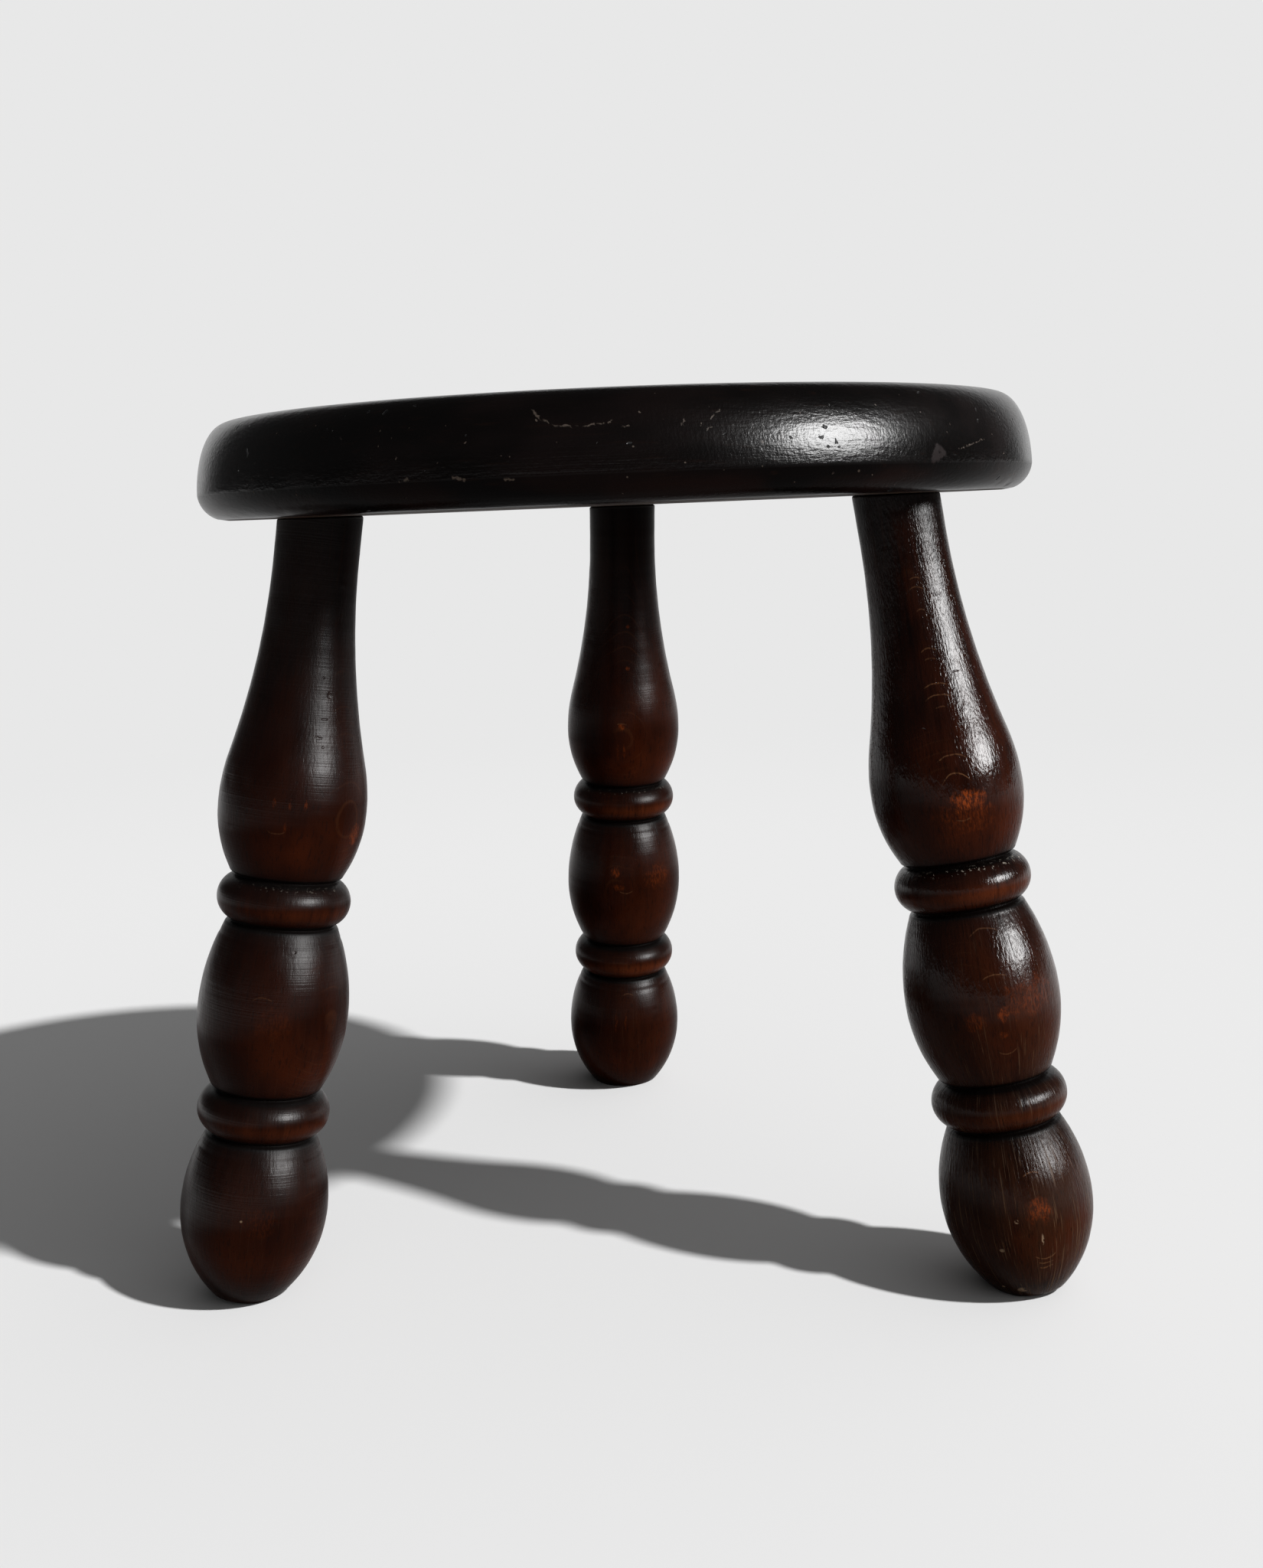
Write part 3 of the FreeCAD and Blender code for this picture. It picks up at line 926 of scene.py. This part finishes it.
def layer_arc(n, where, mark):
    """How much a place on a leg belongs to a thin arc across the leg's face."""
    turn, radius, depth, _ = where
    depth_mm, half_mm, sag_mm, strength = mark
    middle = math.radians(ARC_TURN_DEG + ARC_DRIFT_DEG * depth_mm)
    across = n.math("DIVIDE", n.times(n.math("SUBTRACT", turn, middle), radius), half_mm * MM)
    square = n.times(across, across)
    curve = n.math("MULTIPLY_ADD", square, sag_mm * MM, depth_mm * MM)
    off = n.math("ABSOLUTE", n.math("SUBTRACT", depth, curve))
    return n.times(n.ramp(off, ARC_HALF, 0.3 * ARC_HALF, 0.0, strength), n.ramp(square, 1.0, 0.5))


def stroke(n, flat, mark):
    """How much a place on the seat's laid-flat edge belongs to a mark: 1 in its middle, 0 past its width."""
    turn, height, to_turn, to_height, half_mm = mark
    start = edge_point(turn, height)
    run = edge_point(to_turn, to_height) - start
    from_start = n.vector("SUBTRACT", flat, start)
    along = n.vector("DOT_PRODUCT", from_start, run)
    share = n.math("DIVIDE", along, run.length_squared, clamp=True)
    away = n.vector("DISTANCE", from_start, n.vector("SCALE", run, scale=share))
    return n.ramp(away, half_mm * MM, 0.35 * half_mm * MM)


def edge_point(turn_deg, height_mm):
    """A place on the laid-flat edge of the seat."""
    return Vector((math.radians(turn_deg) * RIM, height_mm * MM, 0))


def together(n, where, marks, kind):
    """All spots, arcs or strokes of one list."""
    total = kind(n, where, marks[0])
    for mark in marks[1:]:
        total = n.math("MAXIMUM", total, kind(n, where, mark))
    return total


def leg_finish(leg, figure):
    """Stained beech: growth layers cut by the turning, warm swellings with painted floor light on their lower
    sides, grooves darkened by grime and painted shade, and scratched feet.
    """
    side, paint, grain = leg.side, LEG_COLOURS, LEG_NOISE
    material = bpy.data.materials.new("leg_wood_" + side)
    n = Nodes(material)
    place = n.place()
    wood = n.mapped(place, (1, 1, 1), (0, 0, -math.radians(figure["face_deg"])), (0, 0, figure["shift"]))
    turn, radius, depth, drum = round_the_leg(n, place, leg.shoulder)
    drum = n.vector("ADD", drum, (0, 0, figure["shift"]))
    stray = n.math("MULTIPLY_ADD", n.noise(place, STRAY_SCALE), 2 * MARK_STRAY, -MARK_STRAY)
    fray = n.math("MULTIPLY_ADD", n.noise(place, FRAY_SCALE, 3.0), 2 * MARK_FRAY, -MARK_FRAY)
    where = turn, radius, n.math("ADD", depth, stray), fray
    dirt_and_shade, rub, painted_underlight = n.attribute("dirt_and_shade"), n.attribute("rub"), n.attribute("painted_underlight")
    cloud = n.ramp(n.stretched(wood, **grain["cloud"]), 0.36, 0.70)
    dash = n.stretched(drum, **grain["dash"])
    pores = n.ramp(dash, 0.44, 0.33)
    worn = n.times(n.ramp(depth, WORN_FROM, WORN_FULL), figure["worn"])

    # Stain: dark and light streaks, warmer on the swellings and warmer still on their lower sides with
    # painted light from the floor, ring lips paler from rubbed stain and painted floor light, rubbed through
    # on the feet
    streak = n.stretched(drum, **grain["streak"])
    mottle = n.stretched(wood, **grain["mottle"])
    blend = n.math("MULTIPLY_ADD", streak, 0.5, n.times(mottle, 0.5))
    colour = n.mix(n.times(n.ramp(blend, 0.32, 0.68), figure["light"]), paint["dark"], paint["light"])
    # Painted light: the lower sides of the swellings are painted warmer, as if lit by the floor
    lit = n.math("MULTIPLY_ADD", painted_underlight, 0.65, 0.35)
    warm = n.times(rub, lit, n.math("MULTIPLY_ADD", cloud, 0.7, 0.3))
    colour = n.mix(n.math("MULTIPLY", warm, figure["tone"], clamp=True), colour, paint["warm"])
    # Ring lips paler: stain rubbed through, and painted light from the floor
    lip = n.times(n.attribute("lip"), n.ramp(blend, 0.40, 0.60, 0.35, 0.9))
    colour = n.mix(n.times(lip, figure["lip"]), colour, paint["lip"])
    colour = n.mix(n.times(worn, n.ramp(blend, 0.38, 0.62, 0.15, 0.62)), colour, paint["bare"])

    # Marks: growth layers, glowing flecks, arcs, pores, scratches, dirt and painted shade, chips and flakes
    lines = n.times(growth_layers(n, wood, figure["pith"]), n.ramp(cloud, 0.2, 0.8))
    colour = n.mix(n.times(lines, LAYER_LINES), colour, paint["layer"])
    glow = together(n, where, LEG_GLOWS[side], spot)
    glow = n.times(glow, n.ramp(n.stretched(drum, **grain["fleck"]), 0.43, 0.60, 0.14, 1.0))
    colour = n.mix(glow, colour, paint["glow"])
    arcs = n.times(together(n, where, LEG_ARCS[side], layer_arc), n.ramp(dash, 0.38, 0.52, 0.45, 1.0))
    colour = n.mix(arcs, colour, paint["arc"])
    colour = n.mix(n.times(pores, 0.45), colour, paint["pore"])
    scratches = n.times(n.ramp(n.stretched(drum, **grain["nick"]), 0.60, 0.70), worn)
    colour = n.mix(n.times(scratches, 0.7), colour, paint["scratch"])
    # Darker in the grooves and below the seat: dirt and painted shade
    colour = n.mix(n.times(dirt_and_shade, 0.97), colour, paint["dirt_and_shade"])
    ragged = n.ramp(n.noise(place, RAGGED_SCALE), 0.36, 0.50)
    chips = n.times(together(n, where, LEG_CHIPS[side], spot), ragged)
    colour = n.mix(n.times(chips, 0.7), colour, paint["chip"])
    specks = n.ramp(n.noise(place, SPECK_SCALE), 0.60, 0.66)
    flakes = n.times(n.attribute("flake"), specks, figure["flaked"])
    colour = n.mix(flakes, colour, paint["flake"])

    # Polish: its roughness, its fine relief and how strongly it shines
    buffing = n.stretched(wood, **grain["buffing"])
    rough = n.ramp(buffing, 0.3, 0.7, figure["gloss"], figure["gloss"] + 0.08)
    rough = n.math("MULTIPLY_ADD", n.math("SUBTRACT", 1.0, rub), figure["dull_neck"], rough)
    rough = n.math("MULTIPLY_ADD", dirt_and_shade, 0.12, n.math("MULTIPLY_ADD", worn, 0.05, rough))
    rough = n.math("MULTIPLY_ADD", n.math("MAXIMUM", scratches, chips), 0.25, rough)
    ridges = n.times(n.stretched(drum, **grain["ridge"]), n.math("MULTIPLY_ADD", worn, 9.0, 1.0))
    crackle = n.times(n.stretched(drum, **grain["crackle"]), n.math("MULTIPLY_ADD", worn, -0.3, 1.0))
    normal = n.bump(ridges, RIDGE_RELIEF)
    normal = n.bump(crackle, figure["crackle"] * MM, normal)
    normal = n.bump(n.stretched(place, **grain["tooling"]), figure["tooling"] * MM, normal)
    normal = n.bump(n.math("MAXIMUM", pores, n.times(chips, 8.0)), PORE_RELIEF, normal)
    normal = n.bump(together(n, where, LEG_DENTS[side], spot), DENT_RELIEF, normal)
    sheen = n.times(n.math("MULTIPLY_ADD", worn, -0.45, 1.0), figure["sheen"])
    polished = n.ramp(n.attribute("polish"), 0.0, 1.0, LEG_DULL_SHARE, 1.0, "LINEAR")
    n.finish(colour, rough, normal, n.times(sheen, polished))
    return material


def unrolled_edge(n, place):
    """The seat's edge laid flat: arc length round the rim and height above the underside, a little ragged."""
    x, y, z = n.axes(place)
    flat = n.add("ShaderNodeCombineXYZ")
    n.put(flat.inputs["X"], n.times(n.math("ARCTAN2", y, x), RIM))
    n.put(flat.inputs["Y"], n.math("SUBTRACT", z, UNDERSIDE))
    ragged = n.vector("SUBTRACT", n.noise(place, EDGE_STRAY_SCALE, output="Color"), (0.5, 0.5, 0.5))
    return n.vector("ADD", flat.outputs[0], n.vector("SCALE", ragged, scale=EDGE_STRAY))


def plank_figure(n, place):
    """Height in the seat, and a flat-sawn plank's growth layers: long bands along X round a far pith."""
    _, y, z = n.axes(place)
    slow = n.stretched(place, **SEAT_NOISE["layers"])
    aside = n.math("SUBTRACT", y, PITH_ASIDE)
    above = n.math("SUBTRACT", z, UNDERSIDE - PITH_BELOW)
    layer = n.math("MULTIPLY_ADD", slow, PLANK_BEND, n.math("SQRT", n.squares(aside, above)))
    phase = n.math("FRACT", n.math("DIVIDE", layer, PLANK_LAYER))
    return z, n.times(n.ramp(phase, 0.25, 0.92), n.ramp(phase, 1.0, 0.95))


def seat_finish():
    """Nearly black polish over long grain: worn thin on top, marked round the edge, dull underneath."""
    paint = SEAT_COLOURS
    material = bpy.data.materials.new("seat_wood")
    n = Nodes(material)
    place = n.place()
    flat = unrolled_edge(n, place)
    height, late = plank_figure(n, place)
    grain = n.stretched(place, **SEAT_NOISE["grain"])
    cloud = n.stretched(place, **SEAT_NOISE["cloud"])

    # Stain: the edge, then the top worn thin, the raw underside and the redder lower edge
    colour = n.mix(n.ramp(cloud, 0.45, 0.75), paint["dark"], paint["light"])
    colour = n.mix(n.times(n.ramp(grain, 0.58, 0.75), 0.5), colour, paint["grain"])
    top = n.ramp(height, TOP - 0.9 * MM, TOP - 0.15 * MM)
    middle = n.ramp(n.vector("LENGTH", n.vector("MULTIPLY", place, (1, 1, 0))), RIM, 0.3 * RIM)
    thinned = n.times(top, middle, n.ramp(cloud, 0.30, 0.65, 0.35, 1.0))
    bands = n.mix(late, paint["top_early"], paint["top_late"])
    bands = n.mix(n.times(n.ramp(grain, 0.48, 0.36), 0.6), bands, paint["top_grain"])
    colour = n.mix(thinned, colour, bands)
    below = n.ramp(height, UNDERSIDE + 0.5 * MM, UNDERSIDE + 0.1 * MM)
    raw = n.mix(late, paint["raw_early"], paint["raw_late"])
    colour = n.mix(n.times(below, 0.8), colour, raw)
    low_edge = n.ramp(height, UNDERSIDE + 9 * MM, UNDERSIDE + 3 * MM)
    low_edge = n.times(low_edge, n.ramp(cloud, 0.45, 0.65))
    colour = n.mix(n.times(low_edge, 0.3), colour, paint["low_edge"])

    # Marks: a worn patch, scratches and flecks down to the bare wood, and pits
    patch = together(n, flat, WORN_PATCH, stroke)
    colour = n.mix(n.times(patch, 0.8), colour, paint["patch"])
    broken = n.ramp(n.noise(place, RAGGED_SCALE), 0.40, 0.58)
    scratches = n.times(together(n, flat, SEAT_SCRATCHES, stroke), broken)
    flecks = n.times(n.ramp(n.noise(place, FLECK_SCALE, 1.0), 0.755, 0.785), n.ramp(cloud, 0.42, 0.55))
    flecks = n.times(flecks, n.math("SUBTRACT", 1.0, n.times(top, 0.8)))
    bare = n.math("MAXIMUM", scratches, flecks)
    colour = n.mix(n.times(bare, 0.75), colour, paint["bare"])
    small_pits = n.ramp(n.noise(place, PIT_SCALE, 1.0), 0.76, 0.80)
    pits = n.math("MAXIMUM", together(n, flat, SEAT_PITS, stroke), small_pits)
    colour = n.mix(n.times(pits, 0.9), colour, paint["pit"])

    # Polish: its roughness, its fine relief and how strongly it shines
    rough = n.ramp(cloud, 0.3, 0.7, 0.19, 0.25)
    rough = n.math("MULTIPLY_ADD", patch, 0.1, n.math("MULTIPLY_ADD", thinned, 0.12, rough))
    dull = n.math("MAXIMUM", bare, n.math("MAXIMUM", pits, below))
    rough = n.math("MULTIPLY_ADD", dull, 0.3, rough)
    normal = n.bump(grain, GRAIN_RELIEF)
    normal = n.bump(n.stretched(place, **SEAT_NOISE["skin"]), SKIN_RELIEF, normal)
    normal = n.bump(pits, PIT_RELIEF, normal)
    shine = n.ramp(n.attribute("polish"), 0.0, 1.0, SEAT_DULL_SHARE * SEAT_SHEEN, SEAT_SHEEN, "LINEAR")
    n.finish(colour, rough, normal, shine)
    return material


def wedge_finish():
    """The wedges' own hard wood, stained with the rest, in darker and paler streaks of its grain."""
    material = bpy.data.materials.new("wedge_wood")
    n = Nodes(material)
    grain = n.stretched(n.place(), **WEDGE_NOISE)
    colour = n.mix(grain, WEDGE_DARK, WEDGE_LIGHT)
    n.finish(colour, n.ramp(grain, 0.3, 0.7, 0.45, 0.6), n.bump(grain, WEDGE_RELIEF, strength=0.5))
    return material


def add_floor():
    """A plain pale floor, evenly bright far from the stool, that gives little light back to diffuse rays."""
    bpy.ops.mesh.primitive_plane_add(size=FLOOR_SIZE)
    floor = bpy.context.object
    floor.name = "floor"
    material = bpy.data.materials.new("floor_pale")
    n = Nodes(material)
    ray = n.add("ShaderNodeLightPath")
    pale = (FLOOR_COLOUR, FLOOR_COLOUR, FLOOR_COLOUR, 1)
    dim = (FLOOR_BOUNCE, FLOOR_BOUNCE, FLOOR_BOUNCE, 1)
    colour = n.mix(ray.outputs["Is Diffuse Ray"], pale, dim)
    near = n.add("ShaderNodeBsdfDiffuse")
    n.put(near.inputs["Color"], colour)
    far = n.add("ShaderNodeEmission")
    n.put(far.inputs["Color"], colour)
    n.blend(n.ramp(n.vector("LENGTH", n.place()), FLOOR_LIT_TO, FLOOR_EVEN_FROM), near, far)
    dress(floor, material)
    return floor


def direction(azimuth_deg, elevation_deg):
    """Unit vector towards a point of the sky."""
    a, e = math.radians(azimuth_deg), math.radians(elevation_deg)
    return Vector((math.cos(a) * math.cos(e), math.sin(a) * math.cos(e), math.sin(e)))


def only_on(lamp, receiver, state):
    """Let a lamp light one object alone, or all but that object."""
    lit = bpy.data.collections.new(lamp.name + "_lights")
    lit.objects.link(receiver)
    lit.collection_objects[0].light_linking.link_state = state
    lamp.light_linking.receiver_collection = lit


def add_box(name, floor, towards, watts):
    """An oval soft box that looks at the stool and leaves the floor to the sun."""
    pane = bpy.data.lights.new(name, "AREA")
    pane.shape = "ELLIPSE"
    pane.size = BOX_WIDTH
    pane.size_y = BOX_HEIGHT
    pane.energy = watts
    box = bpy.data.objects.new(name, pane)
    box.location = Vector(BOX_AIM) + towards * BOX_DISTANCE
    box.rotation_euler = towards.to_track_quat("Z", "Y").to_euler()
    only_on(box, floor, "EXCLUDE")
    bpy.context.scene.collection.objects.link(box)
    return box


def add_lights(floor):
    """The sun for the shadow, the soft box that glows in the polish, and a lamp behind that doesn't."""
    sun = bpy.data.lights.new("sun", "SUN")
    sun.energy = SUN_STRENGTH
    sun.angle = math.radians(SUN_SIZE_DEG)
    lamp = bpy.data.objects.new("sun", sun)
    lamp.rotation_euler = direction(*SUN_TURN_DEG).to_track_quat("Z", "Y").to_euler()
    only_on(lamp, floor, "INCLUDE")
    bpy.context.scene.collection.objects.link(lamp)
    add_box("soft_box", floor, direction(*BOX_TURN_DEG), BOX_WATTS)
    back = add_box("back_box", floor, direction(*BACK_TURN_DEG), BACK_WATTS)
    back.visible_glossy = False


def add_world():
    """A dim room with a pale wall behind the stool, alike to the eye and in the polish, and a soft fill."""
    world = bpy.data.worlds.new("room")
    bpy.context.scene.world = world
    n = Nodes(world, "ShaderNodeOutputWorld")
    towards = n.add("ShaderNodeTexCoord").outputs["Generated"]
    facing = n.vector("DOT_PRODUCT", towards, direction(*WALL_TURN_DEG))
    faded, reach = math.cos(math.radians(WALL_FADED_DEG)), math.cos(math.radians(WALL_REACH_DEG))
    room = n.add("ShaderNodeBackground")
    room.inputs["Color"].default_value = (1, 1, 1, 1)
    n.put(room.inputs["Strength"], n.ramp(facing, faded, reach, ROOM_DIM, FLOOR_COLOUR))
    fill = n.add("ShaderNodeBackground")
    x, _, _ = n.axes(towards)
    n.put(fill.inputs["Strength"], n.ramp(x, FILL_FROM_X, 1.0, 0.0, FILL_GAIN_RIGHT * ROOM_FILL, "LINEAR"))
    ray = n.add("ShaderNodeLightPath")
    seen = n.math("MAXIMUM", ray.outputs["Is Camera Ray"], ray.outputs["Is Glossy Ray"])
    n.blend(n.math("MAXIMUM", seen, ray.outputs["Is Transmission Ray"]), fill, room)


def add_camera():
    """The camera at the photograph's place."""
    data = bpy.data.cameras.new("camera")
    data.sensor_fit = "VERTICAL"
    data.sensor_height = SENSOR_HEIGHT_MM
    data.lens = LENS_MM
    camera = bpy.data.objects.new("camera", data)
    camera.location = CAMERA_PLACE
    camera.rotation_euler = [math.radians(t) for t in CAMERA_TURN_DEG]
    bpy.context.scene.collection.objects.link(camera)
    bpy.context.scene.camera = camera


seat = seat_mesh()
for side in SIDES:
    leg = LegFrame(side)
    piece = make_leg(leg)
    dress(piece, leg_finish(leg, LEG_FIGURE[side]))
    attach(piece, BODY)
    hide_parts("leg_" + side)
    cut(seat, socket_cutter(leg))
crisp_edges(seat)
set_polish(seat, Matrix.Identity(4), SEAT_DULL_LEAN, SEAT_POLISH_BLEND)
dress(seat, seat_finish())
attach(seat, BODY)
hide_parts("seat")
wedges = wedge_finish()
for side in SIDES:
    dress(frame["nodes"]["wedge_" + side], wedges)

add_lights(add_floor())
add_world()
add_camera()
bpy.context.scene.view_settings.view_transform = "Standard"
